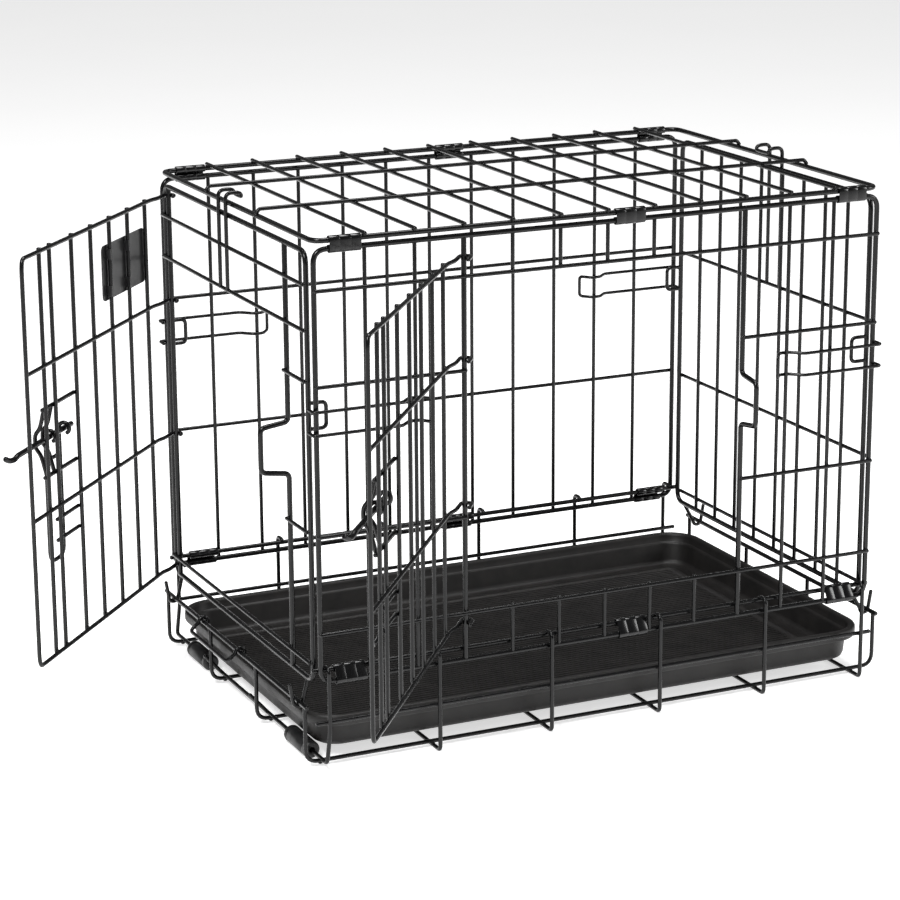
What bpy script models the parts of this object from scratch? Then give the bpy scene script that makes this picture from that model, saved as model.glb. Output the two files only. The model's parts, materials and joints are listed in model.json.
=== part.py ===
"""Folding wire dog crate with two doors, slide-bolt latches, pan and roller feet.

Model frame: X along the crate's length, Y across it (front long side at -Y), Z up from the floor.
The crate is drawn about its own plan centre and then set on its bounding box's bottom centre.
Both doors stand open; a door is drawn closed in its own frame (X from the hinge wire towards the
free edge, -Y outwards) and turned about its hinge wire.
"""
import math

import bmesh
import bpy
from mathutils import Matrix, Vector

# ---- driving dimensions (metres) ----
HALF_L = 0.231            # corner post to crate middle, along X
HALF_W = 0.156            # long panel plane to crate middle, along Y
PITCH = HALF_L / 6        # spacing of the long panels' upright wires
TOP_Z = 0.392             # top panel's frame
PANEL_TOP = 0.386         # long panels' top rail
PANEL_LOW = 0.068         # long panels' bottom rail
CORNER = 0.010            # bend at a frame's corner
HEAVY = 0.0020            # radius of frame, hinge and staple wires
MEDIUM = 0.0018           # radius of the floor panel's rails
FLOOR_WIRE = 0.0016       # radius of the floor panel's other wires
THIN = 0.0014             # radius of the fill wires
DOOR_WIRE = 0.0016        # radius of the doors' upright and outer wires
LOOP_WIRE = 0.0013        # radius of the side loops
ROD = 0.0021              # radius of the latch bolts
SEAT = 0.0005             # how far an upright ends beyond its rail's centre line
SET_OFF = 0.0002          # how far a heavy upright stands off its frame's plane
WELD = 0.0004             # depth by which two welded wires sink into each other
GAP = 0.0003              # least gap between touching pieces
STACK = 2 * THIN - WELD   # centre distance of two crossed fill wires
STACK_HEAVY = THIN + HEAVY - 0.0005   # centre distance of a fill wire on a frame wire
STACK_FLOOR = 2 * FLOOR_WIRE - WELD   # centre distance of two crossed floor wires
WIRE_DETAIL = 1           # bevel resolution of every wire: six sides

# floor panel
UPRIGHT_Y = 0.1605        # upturned ends of the cross wires
FLOOR_RAIL_Y = 0.1515
FLOOR_RAIL_Z = 0.0755
MID_RAIL_Z = 0.037
LEFT_RAIL_X = 0.2405      # raised end rails, which carry the end panels
RIGHT_RAIL_X = 0.246
END_RAIL_Z = 0.048
FLOOR_WIRES_Y = (-0.147, -0.049, 0.049, 0.147)
RAIL_END_X = 0.2365
OUTER_UPRIGHT_X = 0.2265
ROLLER_X = 0.2292          # floor run of the wire that carries the rollers
ROLLER_R = 0.0066
ROLLER_LENGTH = 0.041
ROLLER_Y = (0.100, -0.111)

# long panels
FRONT_LEVELS = (0.357, 0.288, 0.178, 0.1045)
BACK_LEVELS = (0.289, 0.180)
STAPLE_OUT = 0.0216       # how far a door's staple stands out of its panel
SIDE_LATCH_Z = 0.240
END_LATCH_Z = 0.232

# end panels
END_X = 0.2325
END_HALF_Y = 0.1456
END_TOP = 0.383
END_LOW = 0.065
END_HINGE_Y = 0.1372
END_STAPLE_Y = -0.1065

# doors and latches, in the door's own frame
SIDE_DOOR_W = 0.250
END_DOOR_W = 0.256
SIDE_DOOR_ANGLE = math.radians(-127.8)
END_DOOR_ANGLE = math.radians(-131.9)
DOOR_PITCH_COUNT = 7.4
DOOR_UPRIGHTS = (0.8, 1.8, 2.8, 3.8, 4.8, 5.9, 6.4)
SIDE_DOOR_LEVELS = (0.3696, 0.295, 0.186, 0.096)
END_DOOR_LEVELS = (0.376, 0.292, 0.183, 0.073)
DOOR_Y = -0.0065          # plane of a door's level wires
DOOR_UPRIGHT_Y = DOOR_Y - THIN - DOOR_WIRE + 0.0005
ROD_Y = -0.0168
GUIDE_HALF = 0.0255       # latch guide's half height
PADDLE_DROP = 0.098
PADDLE_W = 0.0245

# pan
PAN_HALF_X = 0.2370
PAN_X = 0.0035            # how far the pan sits towards the right end
PAN_HALF_Y = 0.149
PAN_RIM = 0.036
PAN_BOTTOM = 0.0105
PAN_WALL = 0.0016

CLIP_LENGTH = 0.024
CLIP_SHEET = 0.0008

PARTS = None


# ---- scene and materials ----
def clear_scene():
    for ob in list(bpy.data.objects):
        bpy.data.objects.remove(ob)


def new_collection(name):
    collection = bpy.data.collections.new(name)
    bpy.context.scene.collection.children.link(collection)
    return collection


def material(name, colour, roughness, metallic):
    mat = bpy.data.materials.new(name)
    mat.use_nodes = True
    shader = mat.node_tree.nodes["Principled BSDF"]
    shader.inputs["Base Color"].default_value = (*colour, 1.0)
    shader.inputs["Roughness"].default_value = roughness
    shader.inputs["Metallic"].default_value = metallic
    return mat


def finish(ob, name, colour=(0.012, 0.012, 0.013), roughness=0.32, metallic=0.4):
    """Name a sub-part's object, give it its material and put it with the parts."""
    ob.name = name
    ob.data.name = name
    for collection in list(ob.users_collection):
        collection.objects.unlink(ob)
    PARTS.objects.link(ob)
    ob.data.materials.clear()
    ob.data.materials.append(material(name, colour, roughness, metallic))
    ob.data.shade_smooth()
    ob.data.set_sharp_from_angle(angle=math.radians(50))
    return ob


# ---- wires ----
def eased(points, bend, closed, steps=2):
    """Return the path with each of its corners rounded off over the given length."""
    count = len(points)
    path = []
    for i, point in enumerate(points):
        corner = Vector(point)
        if not closed and i in (0, count - 1):
            path.append(corner)
            continue
        before = Vector(points[i - 1]) - corner
        after = Vector(points[(i + 1) % count]) - corner
        start = corner + before.normalized() * min(bend, before.length * 0.45)
        end = corner + after.normalized() * min(bend, after.length * 0.45)
        for k in range(steps + 1):
            t = k / steps
            path.append(start * (1 - t) ** 2 + corner * 2 * t * (1 - t) + end * t ** 2)
    return path


def wire(points, radius=THIN, closed=False, bend=0.0, steps=2):
    """Return one round wire along the points, as a mesh object with closed ends."""
    path = eased(points, bend, closed, steps) if bend else [Vector(p) for p in points]
    curve = bpy.data.curves.new("wire", "CURVE")
    curve.dimensions = "3D"
    curve.bevel_depth = radius
    curve.bevel_resolution = WIRE_DETAIL
    curve.use_fill_caps = True
    spline = curve.splines.new("POLY")
    spline.points.add(len(path) - 1)
    for target, point in zip(spline.points, path):
        target.co = (*point, 1.0)
    spline.use_cyclic_u = closed
    drawn = bpy.data.objects.new("wire", curve)
    bpy.context.scene.collection.objects.link(drawn)
    bpy.context.view_layer.update()
    ob = as_mesh(drawn)
    weld(ob.data)
    return ob


def as_mesh(source):
    """Replace an object by a mesh object of its evaluated shape."""
    graph = bpy.context.evaluated_depsgraph_get()
    mesh = bpy.data.meshes.new_from_object(source.evaluated_get(graph))
    ob = bpy.data.objects.new(source.name, mesh)
    ob.matrix_world = source.matrix_world
    bpy.context.scene.collection.objects.link(ob)
    bpy.data.objects.remove(source)
    return ob


def weld(mesh):
    bm = bmesh.new()
    bm.from_mesh(mesh)
    bmesh.ops.remove_doubles(bm, verts=bm.verts, dist=0.00002)
    bmesh.ops.recalc_face_normals(bm, faces=bm.faces)
    bm.to_mesh(mesh)
    bm.free()


def welded(pieces):
    """Return one solid, the union of the given mesh objects."""
    base = pieces[0]
    others = new_collection("operands")
    for piece in pieces[1:]:
        bpy.context.scene.collection.objects.unlink(piece)
        others.objects.link(piece)
    union = base.modifiers.new("union", "BOOLEAN")
    union.operation = "UNION"
    union.solver = "EXACT"
    union.operand_type = "COLLECTION"
    union.collection = others
    bpy.context.view_layer.update()
    ob = as_mesh(base)
    for piece in list(others.objects):
        bpy.data.objects.remove(piece)
    bpy.data.collections.remove(others)
    weld(ob.data)
    return ob


def arc(centre, radius, start, end, steps):
    """Return points round a centre in a plane, from one angle (degrees) to another."""
    points = []
    for i in range(steps + 1):
        a = math.radians(start + (end - start) * i / steps)
        points.append((centre[0] + radius * math.cos(a), centre[1] + radius * math.sin(a)))
    return points


# ---- floor panel ----
def floor_panel():
    pieces = []
    for side in (-1, 1):
        pieces.append(rail_x(side * FLOOR_RAIL_Y, FLOOR_RAIL_Z, MEDIUM))
        pieces.append(rail_x(side * (UPRIGHT_Y - STACK_FLOOR), MID_RAIL_Z, FLOOR_WIRE))
        x = end_rail_x(side)
        pieces.append(wire([(x, -0.152, END_RAIL_Z), (x, 0.152, END_RAIL_Z)], MEDIUM))
    for k in range(6):
        pieces.append(cross_wire(k))
    for y in FLOOR_WIRES_Y:
        pieces.append(long_floor_wire(y))
    for y in FLOOR_WIRES_Y[1:3]:
        foot = (-ROLLER_X, y + 0.005, ROLLER_R)
        pieces.append(wire([foot, (-0.2445, y + 0.005, 0.024)]))
    return finish(welded(pieces), "floor_panel")


def end_rail_x(side):
    return RIGHT_RAIL_X if side > 0 else -LEFT_RAIL_X


def rail_x(y, z, radius):
    return wire([(-RAIL_END_X, y, z), (RAIL_END_X, y, z)], radius)


def cross_wire(k):
    """One of six wires across the floor, turned up at both sides and curled over the top rail."""
    x = -HALF_L + k * 2 * HALF_L / 5
    x = max(-OUTER_UPRIGHT_X, min(OUTER_UPRIGHT_X, x))
    low = ROLLER_R if k == 0 else FLOOR_WIRE
    curl = FLOOR_RAIL_Z + MEDIUM + FLOOR_WIRE - 0.0009
    half = [(x, FLOOR_RAIL_Y, curl), (x, UPRIGHT_Y, curl)]
    if k == 0:
        half += [(x, UPRIGHT_Y, 0.030), (-ROLLER_X, UPRIGHT_Y, low)]
    else:
        half.append((x, UPRIGHT_Y, low))
    other = [(px, -py, pz) for px, py, pz in reversed(half)]
    return wire(half + other, FLOOR_WIRE, bend=0.004)


def long_floor_wire(y):
    z = FLOOR_WIRE + STACK_FLOOR
    left, right = end_rail_x(-1), end_rail_x(1)
    points = [(left, y, END_RAIL_Z), (left, y, z), (right, y, z), (right, y, END_RAIL_Z)]
    return wire(points, FLOOR_WIRE, bend=0.010, steps=3)


# ---- long panels ----
def frame_loop(half_x, y, low, high):
    corners = [(-half_x, y, low), (half_x, y, low), (half_x, y, high), (-half_x, y, high)]
    return wire(corners, HEAVY, closed=True, bend=CORNER, steps=3)


def upright(x, y, low, high, radius=THIN):
    return wire([(x, y, low - SEAT), (x, y, high + SEAT)], radius)


def level(x0, x1, y, z):
    return wire([(x0, y, z), (x1, y, z)])


def staple_wire(place, latch_z, low, high):
    """A full-height wire that steps outwards round the latch; place(out, z) gives its points."""
    steps = ((0.0, low - SEAT), (0.0, latch_z - 0.0195), (STAPLE_OUT, latch_z - 0.0165),
             (STAPLE_OUT, latch_z + 0.0165), (0.0, latch_z + 0.0195), (0.0, high + SEAT))
    return wire([place(out, z) for out, z in steps], HEAVY, bend=0.004)


def front_panel():
    y = -HALF_W
    fill_y = y - 0.0004
    level_y = y - STACK_HEAVY
    hinge_x = -3 * PITCH
    staple_x = 3 * PITCH
    pieces = [frame_loop(HALF_L, y, PANEL_LOW, PANEL_TOP)]
    for i in (-5, -4, 4, 5):
        pieces.append(upright(i * PITCH, fill_y, PANEL_LOW, PANEL_TOP))
    for i in range(-2, 3):
        pieces.append(upright(i * PITCH, fill_y, FRONT_LEVELS[0], PANEL_TOP))
        pieces.append(upright(i * PITCH, fill_y, PANEL_LOW, FRONT_LEVELS[3]))
    pieces.append(upright(hinge_x, y, PANEL_LOW, PANEL_TOP, HEAVY))
    pieces.append(staple_wire(lambda out, z: (staple_x, y - out, z), SIDE_LATCH_Z, PANEL_LOW, PANEL_TOP))
    end = HALF_L + 0.001
    for z in (FRONT_LEVELS[0], FRONT_LEVELS[3]):
        pieces.append(level(-end, end, level_y, z))
    for z in FRONT_LEVELS[1:3]:
        pieces.append(level(-end, hinge_x + 0.001, level_y, z))
        pieces.append(level(staple_x - 0.001, end, level_y, z))
    return finish(welded(pieces), "front_panel")


def back_panel():
    y = HALF_W
    pieces = [frame_loop(HALF_L, y, PANEL_LOW, PANEL_TOP)]
    for i in range(-5, 6):
        pieces.append(upright(i * PITCH, y + 0.0004, PANEL_LOW, PANEL_TOP))
    for z in BACK_LEVELS:
        pieces.append(level(-HALF_L - 0.001, HALF_L + 0.001, y + STACK_HEAVY, z))
    return finish(welded(pieces), "back_panel")


def top_panel():
    corners = [(sx * HALF_L, sy * HALF_W, TOP_Z) for sx, sy in ((-1, -1), (1, -1), (1, 1), (-1, 1))]
    pieces = [wire(corners, HEAVY, closed=True, bend=CORNER, steps=3)]
    cross_z = TOP_Z + STACK_HEAVY
    for i in range(-5, 6):
        pieces.append(wire([(i * PITCH, -HALF_W - 0.003, cross_z), (i * PITCH, HALF_W + 0.003, cross_z)]))
    for y in (-0.052, 0.052):
        ends = ((-HALF_L - 0.0020, TOP_Z + 0.0014), (-HALF_L + 0.0010, cross_z + STACK))
        left = [(x, y, z) for x, z in ends]
        right = [(-x, py, z) for x, py, z in reversed(left)]
        pieces.append(wire(left + right))
    return finish(welded(pieces), "top_panel")


# ---- end panels ----
def end_frame(side):
    """Frame loop, floor hooks and corner tabs shared by both end panels; side is -1 or 1."""
    x = side * END_X
    plan = ((-1, END_LOW), (1, END_LOW), (1, END_TOP), (-1, END_TOP))
    corners = [(x, s * END_HALF_Y, z) for s, z in plan]
    pieces = [wire(corners, HEAVY, closed=True, bend=CORNER, steps=3)]
    for y in (-0.134, 0.134):
        pieces.append(floor_hook(side, y))
    for y in (-END_HALF_Y, END_HALF_Y):
        inner = x - side * 0.0135
        tab = [(x, y, 0.255), (inner, y, 0.255), (inner, y, 0.274), (x, y, 0.274)]
        pieces.append(wire(tab, THIN, bend=0.004))
    return pieces


def floor_hook(side, y):
    """Hook that hangs from the bottom rail and wraps under the floor panel's raised rail."""
    reach = MEDIUM + THIN + GAP + 0.0003
    points = [(side * END_X, y, END_LOW)]
    rail = abs(end_rail_x(side))
    for px, pz in arc((rail, END_RAIL_Z), reach, 180, 360, 4):
        points.append((side * px, y, pz))
    points.append((side * (rail + 0.0065), y, END_RAIL_Z + 0.014))
    return wire(points)


def end_level(side, y0, y1, z):
    x = side * (END_X + STACK_HEAVY)
    return wire([(x, y0, z), (x, y1, z)])


def top_hook(side, legs, low):
    """Two legs that rise outside the top panel's end rail and curl over it, joined at the tips."""
    x = END_X + STACK_HEAVY + 0.0006
    curl = ((x, low), (x, 0.4005), (x - 0.0115, 0.4005), (x - 0.0130, 0.3965))
    first, last = legs
    points = [(side * px, first, pz) for px, pz in curl]
    points += [(side * px, last, pz) for px, pz in reversed(curl)]
    return wire(points, THIN, bend=0.005)


def left_end_panel():
    x = -END_X
    edge = END_HALF_Y + 0.001
    pieces = end_frame(-1)
    for z in (0.360, 0.327, 0.080):
        pieces.append(end_level(-1, -edge, edge, z))
    for z in (0.290, 0.179):
        pieces.append(end_level(-1, -edge, END_STAPLE_Y + 0.001, z))
    pieces.append(upright(x - SET_OFF, END_HINGE_Y, END_LOW, END_TOP, HEAVY))
    staple_x = x - SET_OFF
    pieces.append(staple_wire(lambda out, z: (staple_x - out, END_STAPLE_Y, z), END_LATCH_Z, END_LOW, END_TOP))
    pieces.append(top_hook(-1, (0.017, 0.002), 0.326))
    return finish(welded(pieces), "left_end_panel")


def right_end_panel():
    x = END_X
    edge = END_HALF_Y + 0.001
    pieces = end_frame(1)
    for j in range(1, 9):
        y = -END_HALF_Y + j * 2 * END_HALF_Y / 9
        pieces.append(upright(x + 0.0004, y, END_LOW, END_TOP))
    for z in (0.286, 0.178, 0.0735):
        pieces.append(end_level(1, -edge, edge, z))
    pieces.append(top_hook(1, (0.009, -0.010), 0.285))
    ob = finish(welded(pieces), "right_end_panel")
    set_origin(ob, (RIGHT_RAIL_X, 0.0, END_RAIL_Z))
    return ob


def set_origin(ob, origin):
    """Move an object's origin onto its joint axis without moving its shape."""
    ob.data.transform(Matrix.Translation(-Vector(origin)))
    ob.location = origin


# ---- doors and latches ----
def door(name, width, levels, latch_z, hinge, angle, low_guides, oval):
    unit = width / DOOR_PITCH_COUNT
    top, bottom = levels[0] + 0.0012, levels[-1] - 0.0012
    pieces = [outer_wire(width, unit, levels, oval)]
    for z in levels[1:-1]:
        pieces.append(wire(hinged_level(z, width, unit, oval)))
    for step in DOOR_UPRIGHTS:
        pieces.append(upright(step * unit, DOOR_UPRIGHT_Y, bottom, top, DOOR_WIRE))
    pieces += latch_guide(unit, latch_z)
    for z in low_guides:
        ends = (4.8 * unit - 0.001, 5.9 * unit + 0.001)
        pieces.append(level(*ends, DOOR_UPRIGHT_Y - DOOR_WIRE - THIN + WELD, z))
    ob = finish(welded(pieces), name)
    ob.location = hinge
    ob.rotation_euler = (0.0, 0.0, angle)
    return ob


def hinged_level(z, width, unit, oval):
    """Points of a level wire that hooks round the hinge wire and steps out to the door's plane.

    The hook is drawn out by the length oval past the hinge wire.
    """
    reach = HEAVY + DOOR_WIRE + GAP + 0.0002
    points = [(oval * 1.2, reach, z)] if oval else []
    first = 90 if oval else 60
    points += [(x, y, z) for x, y in arc((-oval, 0.0), reach, first, 270, 5)]
    points.append((unit * 0.35, -reach, z))
    points.append((unit * 0.62, DOOR_Y, z))
    points.append((width, DOOR_Y, z))
    return points


def outer_wire(width, unit, levels, oval):
    """One wire that makes the top level, the free edge and the bottom level."""
    bend = 0.010
    across = hinged_level(levels[0], width, unit, oval)[:-1]
    back = hinged_level(levels[-1], width, unit, oval)[-2::-1]
    corners = [(width - bend, DOOR_Y, levels[0]), (width, DOOR_Y, levels[0]), (width, DOOR_Y, levels[-1]),
               (width - bend, DOOR_Y, levels[-1])]
    turned = eased(corners, bend, False, 3)
    return wire(across + turned[1:-1] + back, DOOR_WIRE)


def latch_guide(unit, latch_z):
    """Two arms across the uprights and two ears that bow out round the bolt."""
    arm_y = DOOR_UPRIGHT_Y - DOOR_WIRE - DOOR_WIRE + WELD
    ear_y = ROD_Y - ROD - DOOR_WIRE - 0.0006
    pieces = []
    for sign in (-1, 1):
        z = latch_z + sign * GUIDE_HALF
        ends = [(4.8 * unit - 0.001, arm_y, z), (6.4 * unit + 0.001, arm_y, z)]
        pieces.append(wire(ends, DOOR_WIRE))
    for x in (5.9 * unit - 0.0008, 6.4 * unit - 0.0052):
        half = [(x, arm_y - 0.0010, GUIDE_HALF), (x, ROD_Y, 0.010), (x, ear_y, 0.005)]
        other = [(px, py, -pz) for px, py, pz in reversed(half)]
        pieces.append(wire([(px, py, latch_z + pz) for px, py, pz in half + other], DOOR_WIRE))
    return pieces


def bolt(name, width, latch_z, door_ob):
    """Round bolt that slides along the door's outer face; its free end dips and turns out."""
    unit = width / DOOR_PITCH_COUNT
    points = [(4.65 * unit, ROD_Y, 0.0), (width - 0.001, ROD_Y, 0.0), (width + 0.004, ROD_Y - 0.0004, -0.0018),
              (width + 0.009, ROD_Y - 0.0020, -0.0014), (width + 0.0125, ROD_Y - 0.0040, 0.0012)]
    ob = finish(wire(points, ROD), name)
    ob.location = (0.0, 0.0, latch_z)
    ob.parent = door_ob
    return ob


def paddle(name, width, bolt_ob):
    """Hanging handle whose two eyes wrap round the bolt."""
    unit = width / DOOR_PITCH_COUNT
    reach = ROD + DOOR_WIRE + GAP + 0.0002
    eye = [(y, z) for y, z in arc((0.0, 0.0), reach, -70, 180, 6)]
    left = 5.9 * unit - 0.0048 - PADDLE_W
    right = left + PADDLE_W
    drop = PADDLE_DROP
    pieces = [(left, y, z) for y, z in eye]
    pieces += [(left, -reach, -drop + 0.008), (left + 0.008, -reach, -drop)]
    pieces += [(right - 0.008, -reach, -drop), (right, -reach, -drop + 0.008)]
    pieces += [(right, y, z) for y, z in reversed(eye)]
    bar = wire([(left, -reach - 0.0006, -0.020), (right, -reach - 0.0006, -0.020)])
    ob = finish(welded([wire(pieces, DOOR_WIRE), bar]), name)
    ob.location = (0.0, ROD_Y, 0.0)
    ob.parent = bolt_ob
    return ob


def id_plate(door_ob):
    """Blank plate on the end door's outer side, with four tabs bent in beside the uprights."""
    unit = END_DOOR_W / DOOR_PITCH_COUNT
    face = DOOR_UPRIGHT_Y - DOOR_WIRE - GAP
    solids = [block((0.0262, 0.1070), (face - 0.0010, face), (0.3130, 0.3555))]
    for step in (1.8, 2.8):
        x = step * unit + DOOR_WIRE + GAP
        for z in (0.3200, 0.3485):
            solids.append(block((x, x + 0.0010), (face - 0.0006, face + 0.0040), (z - 0.004, z + 0.004)))
    ob = finish(welded(solids), "id_plate", (0.016, 0.016, 0.017), 0.5, 0.0)
    ob.parent = door_ob
    return ob


def block(xs, ys, zs):
    """Box from its lowest and highest X, Y and Z."""
    bm = bmesh.new()
    bmesh.ops.create_cube(bm, size=1.0)
    size = Vector((xs[1] - xs[0], ys[1] - ys[0], zs[1] - zs[0]))
    centre = Vector((sum(xs) / 2, sum(ys) / 2, sum(zs) / 2))
    placed = Matrix.Translation(centre) @ Matrix.Diagonal((*size, 1.0))
    bmesh.ops.transform(bm, matrix=placed, verts=bm.verts)
    return from_bmesh(bm)


def from_bmesh(bm):
    mesh = bpy.data.meshes.new("piece")
    bm.to_mesh(mesh)
    bm.free()
    ob = bpy.data.objects.new("piece", mesh)
    bpy.context.scene.collection.objects.link(ob)
    return ob


# ---- side loops, clips, pan stop ----
def side_loop(name, side_x, side_y):
    """Wire loop that swings on an upright and hooks past the corner post with two tips."""
    pivot_x = 4 * PITCH
    outer = 0.0062
    behind = -(THIN + LOOP_WIRE + GAP + 0.0002) + 0.0004
    run = [(0.2352, -0.0040), (0.2352, outer), (0.167, outer), (0.158, behind), (0.150, behind), (0.143, outer)]
    lower = [(x, out, 0.254) for x, out in run]
    upper = [(x, out, 0.271) for x, out in reversed(run)]
    path = [(side_x * x, side_y * (HALF_W + out), z) for x, out, z in lower + upper]
    ob = finish(wire(path, LOOP_WIRE, bend=0.0025), name)
    set_origin(ob, (side_x * pivot_x, side_y * (HALF_W + 0.0004), 0.2625))
    return ob


def hinge_clip(name, x, side, lower, upper):
    """Sheet rolled round two rails, lower and upper, given as (distance out, height)."""
    low, high = Vector(lower), Vector(upper)
    along = (high - low).normalized()
    out = Vector((along.y, -along.x))
    reach = HEAVY + GAP + CLIP_SHEET / 2 + 0.00005
    path = []
    for t in range(-50, 181, 46):
        a = math.radians(t)
        path.append(low - out * reach * math.cos(a) - along * reach * math.sin(a))
    for t in range(180, -51, -46):
        a = math.radians(t)
        path.append(high - out * reach * math.cos(a) + along * reach * math.sin(a))
    bm = bmesh.new()
    verts = [bm.verts.new((x - CLIP_LENGTH / 2, side * p.x, p.y)) for p in path]
    edges = [bm.edges.new(pair) for pair in zip(verts, verts[1:])]
    extruded = bmesh.ops.extrude_edge_only(bm, edges=edges)["geom"]
    moved = [item for item in extruded if isinstance(item, bmesh.types.BMVert)]
    bmesh.ops.translate(bm, vec=(CLIP_LENGTH, 0.0, 0.0), verts=moved)
    ob = from_bmesh(bm)
    sheet = ob.modifiers.new("sheet", "SOLIDIFY")
    sheet.thickness = CLIP_SHEET
    sheet.offset = 0.0
    bpy.context.view_layer.update()
    ob = as_mesh(ob)
    weld(ob.data)
    return finish(ob, name, (0.013, 0.013, 0.014), 0.28, 0.2)


def hinge_clips():
    top = ((HALF_W, PANEL_TOP), (HALF_W, TOP_Z))
    bottom = ((HALF_W, PANEL_LOW), (FLOOR_RAIL_Y, FLOOR_RAIL_Z))
    rows = (("top", top, (-0.2075, 0.018, 0.2075)), ("bottom", bottom, (-0.2075, 0.024, 0.2075)))
    for row, rails, places in rows:
        for side, side_name in ((-1, "front"), (1, "back")):
            for x, place in zip(places, ("left", "middle", "right")):
                hinge_clip(f"hinge_clip_{row}_{side_name}_{place}", x, side, *rails)


def pan_stop():
    """Swinging loop that hangs on the left raised rail and blocks the pan."""
    reach = MEDIUM + THIN + GAP + 0.0002
    eye = arc((-LEFT_RAIL_X, END_RAIL_Z), reach, -30, 180, 5)
    leg = (-LEFT_RAIL_X - 0.0110, END_RAIL_Z - 0.0060)
    half = [(x, -0.016, z) for x, z in eye] + [(leg[0], -0.016, leg[1])]
    other = [(x, 0.065, z) for x, _, z in reversed(half)]
    ob = finish(wire(half + other), "pan_stop")
    set_origin(ob, (-LEFT_RAIL_X, 0.0245, END_RAIL_Z))
    return ob


# ---- pan and roller feet ----
def rounded_ring(bm, half_x, half_y, radius, z):
    """Closed ring of vertices round a rectangle with round corners."""
    verts = []
    for quarter, (sx, sy) in enumerate(((1, 1), (-1, 1), (-1, -1), (1, -1))):
        centre = (sx * (half_x - radius), sy * (half_y - radius))
        for x, y in arc(centre, radius, quarter * 90, quarter * 90 + 90, 5):
            verts.append(bm.verts.new((PAN_X + x, y, z)))
    count = len(verts)
    return [bm.edges.new((verts[i], verts[(i + 1) % count])) for i in range(count)]


def pan():
    """Shallow tray: lip, sloping wall and floor as one sheet of even thickness."""
    profile = ((0.0, 0.029), (0.0, PAN_RIM), (0.005, PAN_RIM), (0.0085, 0.014), (0.012, PAN_BOTTOM))
    bm = bmesh.new()
    rings = [rounded_ring(bm, PAN_HALF_X - i, PAN_HALF_Y - i, 0.028 - i, z) for i, z in profile]
    for first, second in zip(rings, rings[1:]):
        bmesh.ops.bridge_loops(bm, edges=first + second)
    bmesh.ops.contextual_create(bm, geom=rings[-1])
    bmesh.ops.recalc_face_normals(bm, faces=bm.faces)
    ob = from_bmesh(bm)
    shell = ob.modifiers.new("shell", "SOLIDIFY")
    shell.thickness = PAN_WALL
    shell.offset = 0.0
    shell.use_even_offset = True
    bpy.context.view_layer.update()
    solids = [as_mesh(ob)]
    foot_low = FLOOR_WIRE * 2 + STACK_FLOOR + GAP
    for x in (-0.150, 0.150):
        for y in FLOOR_WIRES_Y[1:3]:
            solids.append(block((x - 0.009, x + 0.009), (y - 0.005, y + 0.005), (foot_low, PAN_BOTTOM)))
    return finish(welded(solids), "pan", (0.022, 0.021, 0.021), 0.55, 0.0)


def roller_foot(name, y):
    """Roller turned round its wire: a thick tube with rounded ends."""
    half = ROLLER_LENGTH / 2
    ease = 0.0016
    bore = FLOOR_WIRE + GAP + 0.0002
    profile = [(ROLLER_R - ease, half), (ROLLER_R, half - ease), (ROLLER_R, -half + ease),
               (ROLLER_R - ease, -half), (bore, -half), (bore, half)]
    bm = bmesh.new()
    verts = [bm.verts.new((r, 0.0, z)) for r, z in profile]
    for i, vert in enumerate(verts):
        bm.edges.new((vert, verts[(i + 1) % len(verts)]))
    ob = from_bmesh(bm)
    turn = ob.modifiers.new("turn", "SCREW")
    turn.axis = "Z"
    turn.steps = 16
    turn.render_steps = 16
    turn.use_merge_vertices = True
    turn.merge_threshold = 0.00001
    bpy.context.view_layer.update()
    ob = as_mesh(ob)
    weld(ob.data)
    ob.data.transform(Matrix.Rotation(math.radians(90), 4, "X"))
    ob = finish(ob, name, (0.014, 0.014, 0.015), 0.45, 0.0)
    ob.location = (-ROLLER_X, y, ROLLER_R)
    return ob


def settle_on_origin():
    """Move the whole crate so that its bounding box stands centred on the origin."""
    bpy.context.view_layer.update()
    corners = [ob.matrix_world @ v.co for ob in PARTS.objects for v in ob.data.vertices]
    low = [min(c[i] for c in corners) for i in range(3)]
    high = [max(c[i] for c in corners) for i in range(3)]
    shift = Vector(((low[0] + high[0]) / 2, (low[1] + high[1]) / 2, low[2]))
    for ob in PARTS.objects:
        if ob.parent is None:
            ob.location -= shift


def main():
    global PARTS
    clear_scene()
    PARTS = new_collection("wire_dog_crate")
    floor_panel()
    front_panel()
    back_panel()
    top_panel()
    left_end_panel()
    right_end_panel()
    side_hinge = (-3 * PITCH, -HALF_W, 0.0)
    end_hinge = (-END_X, END_HINGE_Y, 0.0)
    side = door("side_door", SIDE_DOOR_W, SIDE_DOOR_LEVELS, SIDE_LATCH_Z, side_hinge, SIDE_DOOR_ANGLE,
                (0.172, 0.156), 0.004)
    end = door("end_door", END_DOOR_W, END_DOOR_LEVELS, END_LATCH_Z, end_hinge, END_DOOR_ANGLE,
               (0.170, 0.154), 0.0)
    paddle("side_paddle", SIDE_DOOR_W, bolt("side_bolt", SIDE_DOOR_W, SIDE_LATCH_Z, side))
    paddle("end_paddle", END_DOOR_W, bolt("end_bolt", END_DOOR_W, END_LATCH_Z, end))
    id_plate(end)
    side_loop("side_loop_front_left", -1, -1)
    side_loop("side_loop_front_right", 1, -1)
    side_loop("side_loop_back_left", -1, 1)
    side_loop("side_loop_back_right", 1, 1)
    hinge_clips()
    pan_stop()
    pan()
    roller_foot("roller_foot_back", ROLLER_Y[0])
    roller_foot("roller_foot_front", ROLLER_Y[1])
    settle_on_origin()


main()
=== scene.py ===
"""Looks of the wire dog crate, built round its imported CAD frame.

Wire parts are redrawn as smooth round wires with real bends, weld beads and rounded cut ends;
sheet clips, pan, rollers and plate are redrawn with their own detail. Lengths are in metres.
Each part is drawn about the crate's plan centre, with the floor at z = 0, then placed by the frame.
"""
import json
import math

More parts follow.
